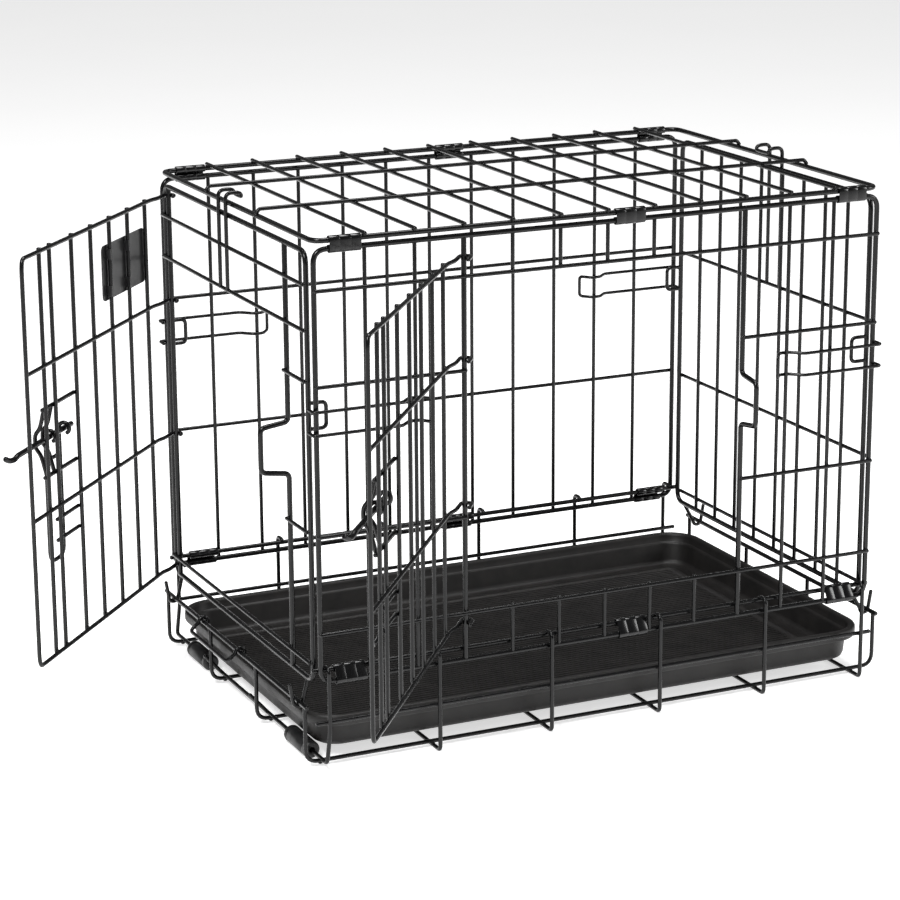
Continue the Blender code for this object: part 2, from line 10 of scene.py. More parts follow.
import bmesh
import bpy
from mathutils import Matrix, Vector


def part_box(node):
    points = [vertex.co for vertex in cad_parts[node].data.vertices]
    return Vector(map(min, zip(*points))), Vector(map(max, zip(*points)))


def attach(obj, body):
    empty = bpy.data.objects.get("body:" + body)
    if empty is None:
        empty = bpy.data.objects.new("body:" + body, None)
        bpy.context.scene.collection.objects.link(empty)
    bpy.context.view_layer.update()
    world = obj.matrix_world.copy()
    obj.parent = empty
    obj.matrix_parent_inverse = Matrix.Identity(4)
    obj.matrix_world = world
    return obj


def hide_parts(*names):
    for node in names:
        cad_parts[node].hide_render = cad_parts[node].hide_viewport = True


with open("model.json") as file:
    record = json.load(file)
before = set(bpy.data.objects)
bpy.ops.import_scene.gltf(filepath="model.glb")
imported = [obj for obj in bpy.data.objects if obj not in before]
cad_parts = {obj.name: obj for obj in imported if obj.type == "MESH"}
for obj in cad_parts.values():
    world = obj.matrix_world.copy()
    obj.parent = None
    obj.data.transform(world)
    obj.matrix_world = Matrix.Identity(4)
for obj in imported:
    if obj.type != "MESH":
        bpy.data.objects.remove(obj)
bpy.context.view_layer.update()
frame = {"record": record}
JOINTS = {joint["name"]: joint for joint in frame["record"]["behaviour"]["joints"]}


def middle(node, axis):
    low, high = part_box(node)
    return (low[axis] + high[axis]) / 2


# ---- main sizes, the crate about its own plan centre ----
CENTRE = Vector((middle("back_panel", 0), middle("top_panel", 1), 0.0))
AT_CENTRE = Matrix.Translation(CENTRE)
HALF_L = 0.231            # corner post to crate middle, along X
HALF_W = 0.156            # long panel plane to crate middle, along Y
PITCH = HALF_L / 6        # spacing of the long panels' upright wires
TOP_Z = 0.392             # top panel's frame
PANEL_TOP = 0.386         # long panels' top rail
PANEL_LOW = 0.068         # long panels' bottom rail
CORNER = 0.010            # bend at a frame's corner
OVERRUN = 0.001           # how far a level wire ends past the wire it is welded to
SET_OFF = 0.0002          # how far the left end's heavy uprights stand off its frame's plane
FILL_OFF = 0.0004         # how far a fill wire stands off its frame's plane

# ---- wire radii, gaps and the centre distances of crossing wires ----
HEAVY = 0.0020            # frame, hinge and staple wires
MEDIUM = 0.0018           # floor panel's raised and end rails
FLOOR_WIRE = 0.0016       # floor panel's long, cross and middle wires
THIN = 0.0015             # fill wires
DOOR_WIRE = 0.0016        # doors, latch guides and paddles
LOOP_WIRE = 0.0013        # side loops
ROD = 0.0021              # latch bolts
GAP = 0.0003
EYE_GAP = GAP + 0.0002    # gap round a wire in an eye, a bore or a side loop
STACK = 0.0024            # two fill wires
STACK_HEAVY = 0.0029      # a fill wire on a frame wire
STACK_FLOOR = 0.0028      # two floor wires
SIDES = 12                # sides of a drawn wire

# ---- floor panel and rollers ----
UPRIGHT_Y = 0.1605        # upturned ends of the cross wires
FLOOR_RAIL_Y = 0.1515
FLOOR_RAIL_Z = 0.0755
MID_RAIL_Z = 0.037
LEFT_RAIL_X = 0.2405
RIGHT_RAIL_X = 0.246
END_RAIL_Z = 0.048
FLOOR_WIRES_Y = (-0.147, -0.049, 0.049, 0.147)
CROSS_WIRES = 6
CURL_SINK = 0.0009        # how deep a cross wire's curl sinks into the rail
STUB_TIP = (-0.2445, 0.024)    # X and Z of the tips of the two left stubs
STUB_SIDE = 0.005         # stub to the long floor wire next to it
RAIL_END_X = 0.2365
OUTER_UPRIGHT_X = 0.2265
ROLLER_X = 0.2292
ROLLER_R = 0.0066
ROLLER_LENGTH = 0.041

# ---- long panels and top ----
FRONT_LEVELS = (0.357, 0.288, 0.178, 0.1045)
BACK_LEVELS = (0.289, 0.180)
TOP_LEVELS_Y = (-0.052, 0.052)
STAPLE_OUT = 0.0216       # how far a door's staple stands out of its panel
STAPLE_ROOT = 0.0195      # half height of the staple's step where it leaves the panel
STAPLE_HALF = 0.0165      # half height of the staple's outer side
SIDE_LATCH_Z = 0.240
END_LATCH_Z = 0.232

# ---- end panels ----
END_X = 0.2325
END_HALF_Y = 0.1456
END_TOP = 0.383
END_LOW = 0.065
END_HINGE_Y = 0.1372
END_STAPLE_Y = -0.1065
HOOK_Y = 0.134            # floor hooks, each side of the middle
TAB_REACH = 0.0135        # corner tabs, from the frame inwards
TAB_Z = (0.255, 0.274)
HOOK_TOP = 0.40030        # top of the hooks over the top panel
LEFT_LEVELS = (0.360, 0.327, 0.080)
LEFT_SHORT_LEVELS = (0.290, 0.179)
RIGHT_LEVELS = (0.286, 0.178, 0.0735)
RIGHT_SPACES = 9

# ---- doors and latches, in the door's own frame: X from the hinge wire, -Y outwards ----
SIDE_DOOR_W = 0.250
END_DOOR_W = 0.256
DOOR_PITCH_COUNT = 7.4
DOOR_UPRIGHTS = (0.8, 1.8, 2.8, 3.8, 4.8, 5.9, 6.4)
SIDE_DOOR_LEVELS = (0.3696, 0.295, 0.186, 0.096)
END_DOOR_LEVELS = (0.376, 0.292, 0.183, 0.073)
DOOR_Y = -0.0065
DOOR_UPRIGHT_Y = DOOR_Y - THIN - DOOR_WIRE + 0.0005
ROD_Y = -0.0168
GUIDE_HALF = 0.0255       # latch guide's half height
PADDLE_DROP = 0.098
PADDLE_W = 0.0245
PLATE_MIDDLE = (0.0666, 0.33425)
PLATE_HALF = (0.0404, 0.02125)
PLATE_SHEET = 0.0010
PLATE_TABS_Z = (0.3200, 0.3485)

# ---- side loops, clips and pan ----
LOOP_Z = (0.254, 0.271)
CLIP_LENGTH = 0.024
CLIP_SHEET = 0.0008
PAN_HALF_X = 0.2370
PAN_X = 0.0035            # how far the pan sits towards the right end
PAN_HALF_Y = 0.149
PAN_BOTTOM = 0.0105
PAN_WALL = 0.0016


# ---- materials ----
def node(tree, kind, **values):
    made = tree.nodes.new(kind)
    for key, value in values.items():
        setattr(made, key, value)
    return made


def noise(tree, coords, scale, detail=4.0):
    tex = node(tree, "ShaderNodeTexNoise")
    tex.inputs["Scale"].default_value = scale
    tex.inputs["Detail"].default_value = detail
    tree.links.new(coords, tex.inputs["Vector"])
    return tex.outputs["Fac"]


def ramp(tree, value, low, high, start=0.35, end=0.65):
    """Map a grey value onto a colour between low and high."""
    made = node(tree, "ShaderNodeValToRGB")
    made.color_ramp.elements[0].position = start
    made.color_ramp.elements[1].position = end
    made.color_ramp.elements[0].color = (*low, 1.0)
    made.color_ramp.elements[1].color = (*high, 1.0)
    tree.links.new(value, made.inputs["Fac"])
    return made.outputs["Color"]


def remap(tree, value, low, high):
    made = node(tree, "ShaderNodeMapRange")
    made.inputs["To Min"].default_value = low
    made.inputs["To Max"].default_value = high
    tree.links.new(value, made.inputs["Value"])
    return made.outputs["Result"]


def surface(name, dark, light, rough, specular, coat, grain):
    """Principled material with mottled colour, uneven roughness and a grain given as
    (scale, strength, depth in metres)."""
    mat = bpy.data.materials.new(name)
    mat.use_nodes = True
    tree = mat.node_tree
    shader = tree.nodes["Principled BSDF"]
    coords = node(tree, "ShaderNodeTexCoord").outputs["Object"]
    mottle = noise(tree, coords, 60.0)
    tree.links.new(ramp(tree, mottle, dark, light), shader.inputs["Base Color"])
    tree.links.new(remap(tree, noise(tree, coords, 140.0, 6.0), *rough), shader.inputs["Roughness"])
    bump = node(tree, "ShaderNodeBump")
    bump.inputs["Strength"].default_value = grain[1]
    bump.inputs["Distance"].default_value = grain[2]
    tree.links.new(noise(tree, coords, grain[0], 3.0), bump.inputs["Height"])
    tree.links.new(bump.outputs["Normal"], shader.inputs["Normal"])
    shader.inputs["Specular IOR Level"].default_value = specular
    shader.inputs["Coat Weight"].default_value = coat
    shader.inputs["Coat Roughness"].default_value = 0.12
    return mat


def make_materials():
    dark, light = (0.0012, 0.0012, 0.0014), (0.0032, 0.0032, 0.0035)
    plate = (0.0030, 0.0030, 0.0033), (0.0070, 0.0070, 0.0075)
    pan_colours = (0.0070, 0.0064, 0.0062), (0.0125, 0.0114, 0.0108)
    roller_colours = (0.005, 0.005, 0.0053), (0.010, 0.010, 0.0105)
    return {
        "coated_wire": surface("coated_wire", dark, light, (0.20, 0.32), 0.28, 0.10,
                               (1500.0, 0.25, 0.00005)),
        "coated_clip": surface("coated_clip", dark, light, (0.16, 0.28), 0.35, 0.20,
                               (1100.0, 0.25, 0.00006)),
        "coated_plate": surface("coated_plate", *plate, (0.32, 0.44), 0.5, 0.1,
                                (1300.0, 0.35, 0.00006)),
        "pan_plastic": surface("pan_plastic", *pan_colours, (0.38, 0.54), 0.35, 0.0,
                               (2200.0, 0.55, 0.00012)),
        "roller_plastic": surface("roller_plastic", *roller_colours, (0.36, 0.52), 0.5, 0.0,
                                  (1600.0, 0.4, 0.00008)),
    }


MATERIALS = make_materials()


# ---- building pieces ----
def place(ob, name, slot, body, nodes, matrix=AT_CENTRE):
    """Name a drawn piece, put it in the frame and let it stand for its CAD nodes."""
    ob.name = name
    ob.data.name = name
    ob.data.transform(matrix)
    ob.data.materials.clear()
    ob.data.materials.append(MATERIALS[slot])
    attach(ob, body)
    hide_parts(*nodes)
    return ob


def eased(points, bend, closed, steps=6):
    """Return the path with its corners rounded off over the given length."""
    count = len(points)
    path = []
    for i, point in enumerate(points):
        corner = Vector(point)
        if not closed and i in (0, count - 1):
            path.append(corner)
            continue
        before = Vector(points[i - 1]) - corner
        after = Vector(points[(i + 1) % count]) - corner
        start = corner + before.normalized() * min(bend, before.length * 0.45)
        end = corner + after.normalized() * min(bend, after.length * 0.45)
        for k in range(steps + 1):
            t = k / steps
            path.append(start * (1 - t) ** 2 + corner * 2 * t * (1 - t) + end * t ** 2)
    return path


def run(points, radius=THIN, closed=False, bend=0.0):
    """One wire of a drawing: its path, radius and whether it closes on itself."""
    path = eased(points, bend, closed) if bend else [Vector(p) for p in points]
    return path, radius, closed


def tipped(path, radius):
    """Give an open wire rounded ends: (point, radius) pairs that close in at both tips."""
    marks = ((0.0, 0.50), (0.12, 0.78), (0.38, 0.96), (0.75, 1.0))
    head = (path[1] - path[0]).normalized() * radius
    tail = (path[-2] - path[-1]).normalized() * radius
    start = [(path[0] + head * t, radius * f) for t, f in marks]
    end = [(path[-1] + tail * t, radius * f) for t, f in reversed(marks)]
    return start + [(p, radius) for p in path[1:-1]] + end


def drawing(runs, beads=()):
    """Return one mesh object that holds every wire of a part and its weld beads."""
    curve = bpy.data.curves.new("drawing", "CURVE")
    curve.dimensions = "3D"
    curve.bevel_depth = 0.001
    curve.bevel_resolution = (SIDES - 4) // 2
    curve.use_fill_caps = True
    for path, radius, closed in runs:
        marks = [(p, radius) for p in path] if closed else tipped(path, radius)
        spline = curve.splines.new("POLY")
        spline.points.add(len(marks) - 1)
        for target, (point, size) in zip(spline.points, marks):
            target.co = (*point, 1.0)
            target.radius = size / curve.bevel_depth
        spline.use_cyclic_u = closed
    drawn = bpy.data.objects.new("drawing", curve)
    bpy.context.scene.collection.objects.link(drawn)
    bpy.context.view_layer.update()
    graph = bpy.context.evaluated_depsgraph_get()
    mesh = bpy.data.meshes.new_from_object(drawn.evaluated_get(graph))
    bpy.data.objects.remove(drawn)
    bm = bmesh.new()
    bm.from_mesh(mesh)
    bmesh.ops.remove_doubles(bm, verts=bm.verts, dist=0.00001)
    for point, size in beads:
        place_bead(bm, point, size)
    bm.to_mesh(mesh)
    bm.free()
    mesh.shade_smooth()
    ob = bpy.data.objects.new("drawing", mesh)
    bpy.context.scene.collection.objects.link(ob)
    return ob


def place_bead(bm, point, size):
    """Small flattened bead where two wires are welded."""
    matrix = Matrix.Translation(Vector(point)) @ Matrix.Diagonal((*size, 1.0))
    bmesh.ops.create_icosphere(bm, subdivisions=2, radius=1.0, matrix=matrix)


def bead(point, flat_axis):
    size = [THIN * 1.25] * 3
    size[flat_axis] = THIN * 0.95
    return (point, size)


def from_bmesh(bm, smooth_angle=40):
    mesh = bpy.data.meshes.new("piece")
    bm.to_mesh(mesh)
    bm.free()
    mesh.shade_smooth()
    mesh.set_sharp_from_angle(angle=math.radians(smooth_angle))
    ob = bpy.data.objects.new("piece", mesh)
    bpy.context.scene.collection.objects.link(ob)
    return ob


def applied(ob):
    """Bake an object's modifiers into its mesh."""
    bpy.context.view_layer.update()
    graph = bpy.context.evaluated_depsgraph_get()
    mesh = bpy.data.meshes.new_from_object(ob.evaluated_get(graph))
    made = bpy.data.objects.new(ob.name, mesh)
    bpy.context.scene.collection.objects.link(made)
    bpy.data.objects.remove(ob)
    return made


def arc(centre, radius, start, end, steps):
    points = []
    for i in range(steps + 1):
        a = math.radians(start + (end - start) * i / steps)
        points.append((centre[0] + radius * math.cos(a), centre[1] + radius * math.sin(a)))
    return points


# ---- floor panel ----
def floor_panel():
    runs = []
    beads = []
    left, right = end_rail_x(-1), end_rail_x(1)
    for side in (-1, 1):
        runs.append(rail_x(side * FLOOR_RAIL_Y, FLOOR_RAIL_Z, MEDIUM))
        runs.append(rail_x(side * (UPRIGHT_Y - STACK_FLOOR), MID_RAIL_Z, FLOOR_WIRE))
        x = end_rail_x(side)
        runs.append(run([(x, -0.152, END_RAIL_Z), (x, 0.152, END_RAIL_Z)], MEDIUM))
        for k in range(CROSS_WIRES):
            beads.append(bead((cross_x(k), side * (UPRIGHT_Y - STACK_FLOOR / 2), MID_RAIL_Z), 1))
            beads.append(bead((cross_x(k), side * FLOOR_RAIL_Y, FLOOR_RAIL_Z + STACK_FLOOR * 0.6), 2))
    for k in range(CROSS_WIRES):
        runs.append(cross_wire(k))
        for y in FLOOR_WIRES_Y:
            beads.append(bead((-ROLLER_X if k == 0 else cross_x(k), y, FLOOR_WIRE + STACK_FLOOR / 2), 2))
    z = FLOOR_WIRE + STACK_FLOOR
    for y in FLOOR_WIRES_Y:
        points = [(left, y, END_RAIL_Z), (left, y, z), (right, y, z), (right, y, END_RAIL_Z)]
        runs.append(run(points, FLOOR_WIRE, bend=0.010))
    for y in FLOOR_WIRES_Y[1:3]:
        stub_y = y + STUB_SIDE
        runs.append(run([(-ROLLER_X, stub_y, ROLLER_R), (STUB_TIP[0], stub_y, STUB_TIP[1])]))
    place(drawing(runs, beads), "floor_panel_wires", "coated_wire", "crate", ["floor_panel"])


def end_rail_x(side):
    return RIGHT_RAIL_X if side > 0 else -LEFT_RAIL_X


def rail_x(y, z, radius):
    return run([(-RAIL_END_X, y, z), (RAIL_END_X, y, z)], radius)


def cross_x(k):
    x = -HALF_L + k * 2 * HALF_L / 5
    return max(-OUTER_UPRIGHT_X, min(OUTER_UPRIGHT_X, x))


def cross_wire(k):
    """Wire across the floor, turned up and over the top rail; the first one carries the rollers."""
    x = cross_x(k)
    curl = FLOOR_RAIL_Z + MEDIUM + FLOOR_WIRE - CURL_SINK
    half = [(x, FLOOR_RAIL_Y, curl), (x, UPRIGHT_Y, curl)]
    if k == 0:
        half += [(x, UPRIGHT_Y, 0.030), (-ROLLER_X, UPRIGHT_Y, ROLLER_R)]
    else:
        half.append((x, UPRIGHT_Y, FLOOR_WIRE))
    other = [(px, -py, pz) for px, py, pz in reversed(half)]
    return run(half + other, FLOOR_WIRE, bend=0.004)


# ---- long panels ----
def frame_loop(half_x, y, low, high):
    corners = [(-half_x, y, low), (half_x, y, low), (half_x, y, high), (-half_x, y, high)]
    return run(corners, HEAVY, closed=True, bend=CORNER)


def staple_run(spot, latch_z, low, high):
    """A full-height wire that steps outwards round the latch; spot(out, z) gives its points."""
    steps = ((0.0, low), (0.0, latch_z - STAPLE_ROOT), (STAPLE_OUT, latch_z - STAPLE_HALF),
             (STAPLE_OUT, latch_z + STAPLE_HALF), (0.0, latch_z + STAPLE_ROOT), (0.0, high))
    return run([spot(out, z) for out, z in steps], HEAVY, bend=0.004)


def front_panel():
    y = -HALF_W
    fill_y = y - FILL_OFF
    level_y = y - STACK_HEAVY
    staple_x = 3 * PITCH
    runs = [frame_loop(HALF_L, y, PANEL_LOW, PANEL_TOP)]
    beads = []
    for i in (-5, -4, 4, 5):
        runs.append(run([(i * PITCH, fill_y, PANEL_LOW), (i * PITCH, fill_y, PANEL_TOP)]))
    for i in range(-2, 3):
        runs.append(run([(i * PITCH, fill_y, FRONT_LEVELS[0] - 0.002), (i * PITCH, fill_y, PANEL_TOP)]))
        runs.append(run([(i * PITCH, fill_y, PANEL_LOW), (i * PITCH, fill_y, FRONT_LEVELS[3] + 0.002)]))
    runs.append(run([(-staple_x, y, PANEL_LOW), (-staple_x, y, PANEL_TOP)], HEAVY))
    runs.append(staple_run(lambda out, z: (staple_x, y - out, z), SIDE_LATCH_Z, PANEL_LOW, PANEL_TOP))
    end = HALF_L + OVERRUN
    for z in (FRONT_LEVELS[0], FRONT_LEVELS[3]):
        runs.append(run([(-end, level_y, z), (end, level_y, z)]))
        beads += [bead((i * PITCH, y - STACK_HEAVY / 2, z), 1) for i in range(-6, 7)]
    for z in FRONT_LEVELS[1:3]:
        runs.append(run([(-end, level_y, z), (-staple_x + OVERRUN, level_y, z)]))
        runs.append(run([(staple_x - OVERRUN, level_y, z), (end, level_y, z)]))
        beads += [bead((i * PITCH, y - STACK_HEAVY / 2, z), 1) for i in (-6, -5, -4, -3, 3, 4, 5, 6)]
    place(drawing(runs, beads), "front_panel_wires", "coated_wire", "crate", ["front_panel"])


def back_panel():
    y = HALF_W
    runs = [frame_loop(HALF_L, y, PANEL_LOW, PANEL_TOP)]
    beads = []
    for i in range(-5, 6):
        runs.append(run([(i * PITCH, y + FILL_OFF, z) for z in (PANEL_LOW, PANEL_TOP)]))
    for z in BACK_LEVELS:
        runs.append(run([(s * (HALF_L + OVERRUN), y + STACK_HEAVY, z) for s in (-1, 1)]))
        beads += [bead((i * PITCH, y + STACK_HEAVY / 2, z), 1) for i in range(-6, 7)]
    place(drawing(runs, beads), "back_panel_wires", "coated_wire", "crate", ["back_panel"])


def top_panel():
    corners = [(sx * HALF_L, sy * HALF_W, TOP_Z) for sx, sy in ((-1, -1), (1, -1), (1, 1), (-1, 1))]
    runs = [run(corners, HEAVY, closed=True, bend=CORNER)]
    beads = []
    cross_z = TOP_Z + STACK_HEAVY
    for i in range(-5, 6):
        runs.append(run([(i * PITCH, -HALF_W - 0.003, cross_z), (i * PITCH, HALF_W + 0.003, cross_z)]))
        beads += [bead((i * PITCH, y, TOP_Z + STACK_HEAVY / 2), 2) for y in (-HALF_W, HALF_W)]
        beads += [bead((i * PITCH, y, cross_z + STACK / 2), 2) for y in TOP_LEVELS_Y]
    for y in TOP_LEVELS_Y:
        left = [(-HALF_L - 0.0020, y, TOP_Z + 0.0014), (-HALF_L + 0.0010, y, cross_z + STACK)]
        right = [(-x, y, z) for x, _, z in reversed(left)]
        runs.append(run(left + right, THIN, bend=0.0015))
    place(drawing(runs, beads), "top_panel_wires", "coated_wire", "crate", ["top_panel"])


# ---- end panels ----
def end_frame(side):
    """Frame, floor hooks and corner tabs of the end panel on one side, -1 or 1."""
    x = side * END_X
    plan = ((-1, END_LOW), (1, END_LOW), (1, END_TOP), (-1, END_TOP))
    corners = [(x, s * END_HALF_Y, z) for s, z in plan]
    runs = [run(corners, HEAVY, closed=True, bend=CORNER)]
    for y in (-HOOK_Y, HOOK_Y):
        runs.append(floor_hook(side, y))
    for y in (-END_HALF_Y, END_HALF_Y):
        inner = x - side * TAB_REACH
        low, high = TAB_Z
        tab = [(x, y, low), (inner, y, low), (inner, y, high), (x, y, high)]
        runs.append(run(tab, THIN, bend=0.004))
    return runs


def floor_hook(side, y):
    """Hook that hangs from the bottom rail and wraps under the floor panel's raised rail."""
    reach = MEDIUM + THIN + GAP + 0.0003
    points = [(side * END_X, y, END_LOW)]
    rail = abs(end_rail_x(side))
    for px, pz in arc((rail, END_RAIL_Z), reach, 180, 360, 10):
        points.append((side * px, y, pz))
    points.append((side * (rail + 0.0062), y, END_RAIL_Z + 0.014))
    return run(points)


def end_level(side, y0, y1, z):
    x = side * (END_X + STACK_HEAVY)
    return run([(x, y0, z), (x, y1, z)])


def top_hook(side, legs, low):
    """Two legs that rise outside the top panel's end rail and curl over it, joined at the tips."""
    x = END_X + STACK_HEAVY + 0.0003
    curl = ((x, low), (x, HOOK_TOP), (x - 0.0115, HOOK_TOP), (x - 0.0130, HOOK_TOP - 0.0038))
    first, last = legs
    points = [(side * px, first, pz) for px, pz in curl]
    points += [(side * px, last, pz) for px, pz in reversed(curl)]
    return run(points, THIN, bend=0.005)


def left_end_panel():
    x = -END_X
    edge = END_HALF_Y + OVERRUN
    joined = x - STACK_HEAVY / 2
    runs = end_frame(-1)
    beads = []
    for z in LEFT_LEVELS:
        runs.append(end_level(-1, -edge, edge, z))
        beads += [bead((joined, y, z), 0) for y in (-END_HALF_Y, END_STAPLE_Y, END_HINGE_Y, END_HALF_Y)]
    for z in LEFT_SHORT_LEVELS:
        runs.append(end_level(-1, -edge, END_STAPLE_Y + OVERRUN, z))
        beads += [bead((joined, y, z), 0) for y in (-END_HALF_Y, END_STAPLE_Y)]
    post_x = x - SET_OFF
    runs.append(run([(post_x, END_HINGE_Y, END_LOW), (post_x, END_HINGE_Y, END_TOP)], HEAVY))
    runs.append(staple_run(lambda out, z: (post_x - out, END_STAPLE_Y, z), END_LATCH_Z, END_LOW, END_TOP))
    runs.append(top_hook(-1, (0.017, 0.002), 0.326))
    place(drawing(runs, beads), "left_end_panel_wires", "coated_wire", "crate", ["left_end_panel"])


def right_end_panel():
    x = END_X
    edge = END_HALF_Y + OVERRUN
    places = [-END_HALF_Y + j * 2 * END_HALF_Y / RIGHT_SPACES for j in range(RIGHT_SPACES + 1)]
    runs = end_frame(1)
    beads = []
    for y in places[1:-1]:
        runs.append(run([(x + FILL_OFF, y, END_LOW), (x + FILL_OFF, y, END_TOP)]))
    for z in RIGHT_LEVELS:
        runs.append(end_level(1, -edge, edge, z))
        beads += [bead((x + STACK_HEAVY / 2, y, z), 0) for y in places]
    runs.append(top_hook(1, (0.009, -0.010), 0.285))
    made = drawing(runs, beads)
    place(made, "right_end_panel_wires", "coated_wire", "right_end_panel", ["right_end_panel"])


# ---- doors and latches ----
def door_matrix(joint_name, closed_angle):
    """A door's own frame: on its hinge wire, turned back from closed by the joint's upper limit."""
    joint = JOINTS[joint_name]
    x, y, _ = joint["pos_m"]
    angle = math.radians(closed_angle - joint["range_deg"][1])
    return Matrix.Translation((x, y, 0.0)) @ Matrix.Rotation(angle, 4, "Z")


def door(name, width, levels, latch_z, matrix, low_guides, oval):
    """Door leaf with its latch guide; levels are its level wires' heights, from the top down."""
    unit = width / DOOR_PITCH_COUNT
    inner, middle_x, outer = (step * unit for step in DOOR_UPRIGHTS[-3:])
    ends = (levels[-1] - 0.0017, levels[0] + 0.0017)
    arm_y = DOOR_UPRIGHT_Y - 2 * DOOR_WIRE + 0.0004
    low_arm_y = DOOR_UPRIGHT_Y - DOOR_WIRE - THIN + 0.0004
    weld_y = (DOOR_Y + DOOR_UPRIGHT_Y) / 2
    runs = [outer_wire(width, unit, levels, oval)]
    beads = []
    for z in levels:
        beads += [bead((step * unit, weld_y, z), 1) for step in DOOR_UPRIGHTS]
    for z in levels[1:-1]:
        runs.append(run(hinged_level(z, width, unit, oval)))
    for step in DOOR_UPRIGHTS:
        runs.append(run([(step * unit, DOOR_UPRIGHT_Y, z) for z in ends], DOOR_WIRE))
    for z in (latch_z - GUIDE_HALF, latch_z + GUIDE_HALF):
        runs.append(run([(inner - OVERRUN, arm_y, z), (outer + OVERRUN, arm_y, z)], DOOR_WIRE))
    for z in low_guides:
        runs.append(run([(inner - OVERRUN, low_arm_y, z), (middle_x + OVERRUN, low_arm_y, z)]))
    ear_y = ROD_Y - ROD - DOOR_WIRE - 0.0006
    for x in (middle_x - 0.0008, outer - 0.0052):
        half = [(x, arm_y - 0.0010, GUIDE_HALF), (x, ROD_Y, 0.010), (x, ear_y, 0.005)]
        other = [(px, py, -pz) for px, py, pz in reversed(half)]
        runs.append(run([(px, py, latch_z + pz) for px, py, pz in half + other], DOOR_WIRE, bend=0.004))
    place(drawing(runs, beads), name + "_wires", "coated_wire", name, [name], matrix)


def hinged_level(z, width, unit, oval):
    """Points of a level wire; its hook is drawn out by oval past the hinge wire."""
    reach = HEAVY + DOOR_WIRE + EYE_GAP
    hook = [(oval * 1.2, reach, z)] if oval else []
    hook += [(x, y, z) for x, y in arc((-oval, 0.0), reach, 90 if oval else 60, 270, 12)]
    straight = [hook[-1], (unit * 0.35, -reach, z), (unit * 0.62, DOOR_Y, z), (width, DOOR_Y, z)]
    return hook[:-1] + [tuple(p) for p in eased(straight, 0.004, False)]


def outer_wire(width, unit, levels, oval):
    """One wire that makes the top level, the free edge and the bottom level."""
    top, bottom = levels[0], levels[-1]
    near = width - 0.010
    across = hinged_level(top, width, unit, oval)[:-1]
    back = hinged_level(bottom, width, unit, oval)[-2::-1]
    corners = [(near, top), (width, top), (width, bottom), (near, bottom)]
    turned = eased([(x, DOOR_Y, z) for x, z in corners], 0.010, False)
    return run(across + turned[1:-1] + back, DOOR_WIRE)


def bolt(name, width, latch_z, matrix):
    """Round bolt along the door; its finger, past the free edge, dips and then turns out."""
    unit = width / DOOR_PITCH_COUNT
    finger = ((-0.001, 0.0, 0.0), (0.004, -0.0004, -0.0018), (0.009, -0.0020, -0.0014),
              (0.0125, -0.0040, 0.0012))
    points = [(4.65 * unit, ROD_Y, latch_z)]
    points += [(width + x, ROD_Y + y, latch_z + z) for x, y, z in finger]
    place(drawing([run(points, ROD, bend=0.002)]), name + "_rod", "coated_wire", name, [name], matrix)


def paddle(name, width, latch_z, matrix):
    """Hanging handle whose two eyes wrap round the bolt."""
    unit = width / DOOR_PITCH_COUNT
    reach = ROD + DOOR_WIRE + EYE_GAP
    eye = arc((0.0, 0.0), reach, -70, 180, 14)
    left = 5.9 * unit - 0.0048 - PADDLE_W
    right = left + PADDLE_W
    legs = [(left, 0.0), (left, -PADDLE_DROP), (right, -PADDLE_DROP), (right, 0.0)]
    bow = [tuple(p) for p in eased([(x, -reach, z) for x, z in legs], 0.009, False)]
    path = [(left, y, z) for y, z in eye[:-1]] + bow + [(right, y, z) for y, z in reversed(eye[:-1])]
    bar = [(left, -reach - 0.0006, -0.020), (right, -reach - 0.0006, -0.020)]
    shift = matrix @ Matrix.Translation((0.0, ROD_Y, latch_z))
    place(drawing([run(path, DOOR_WIRE), run(bar)]), name + "_wire", "coated_wire", name, [name], shift)


def rounded_outline(half_x, half_y, radius, steps=8):
    points = []
    for quarter, (sx, sy) in enumerate(((1, 1), (-1, 1), (-1, -1), (1, -1))):
        centre = (sx * (half_x - radius), sy * (half_y - radius))
        points += arc(centre, radius, quarter * 90, quarter * 90 + 90, steps)
    return points


def id_plate(matrix):
    """Blank plate: round corners, a pressed raised field and four flat box tabs beside the wires."""
    unit = END_DOOR_W / DOOR_PITCH_COUNT
    face = DOOR_UPRIGHT_Y - DOOR_WIRE - GAP
    centre = Vector((PLATE_MIDDLE[0], face - PLATE_SHEET, PLATE_MIDDLE[1]))
    rings = ((0.0, 0.0010), (0.0, 0.0002), (0.0003, 0.0), (0.0040, 0.0), (0.0048, 0.0004), (0.0060, 0.0004))
    bm = bmesh.new()
    loops = []
    for inset, depth in rings:
        half_x, half_z = (half - inset for half in PLATE_HALF)
        outline = rounded_outline(half_x, half_z, 0.004 if inset < 0.004 else 0.0025)
        verts = [bm.verts.new((centre.x + x, centre.y + depth, centre.z + z)) for x, z in outline]
        loops.append(verts)
    for first, second in zip(loops, loops[1:]):
        for i, vert in enumerate(first):
            j = (i + 1) % len(first)
            bm.faces.new((vert, first[j], second[j], second[i]))
    bm.faces.new(loops[-1])
    bm.faces.new(list(reversed(loops[0])))
    for step in (1.8, 2.8):
        x = step * unit + DOOR_WIRE + GAP + 0.0005
        for z in PLATE_TABS_Z:
            size = Matrix.Diagonal((0.0010, 0.0044, 0.0080, 1.0))
            spot = Matrix.Translation((x, face + 0.0018, z))
            bmesh.ops.create_cube(bm, size=1.0, matrix=spot @ size)
    bmesh.ops.recalc_face_normals(bm, faces=bm.faces)
    place(from_bmesh(bm), "id_plate_blank", "coated_plate", "end_door", ["id_plate"], matrix)


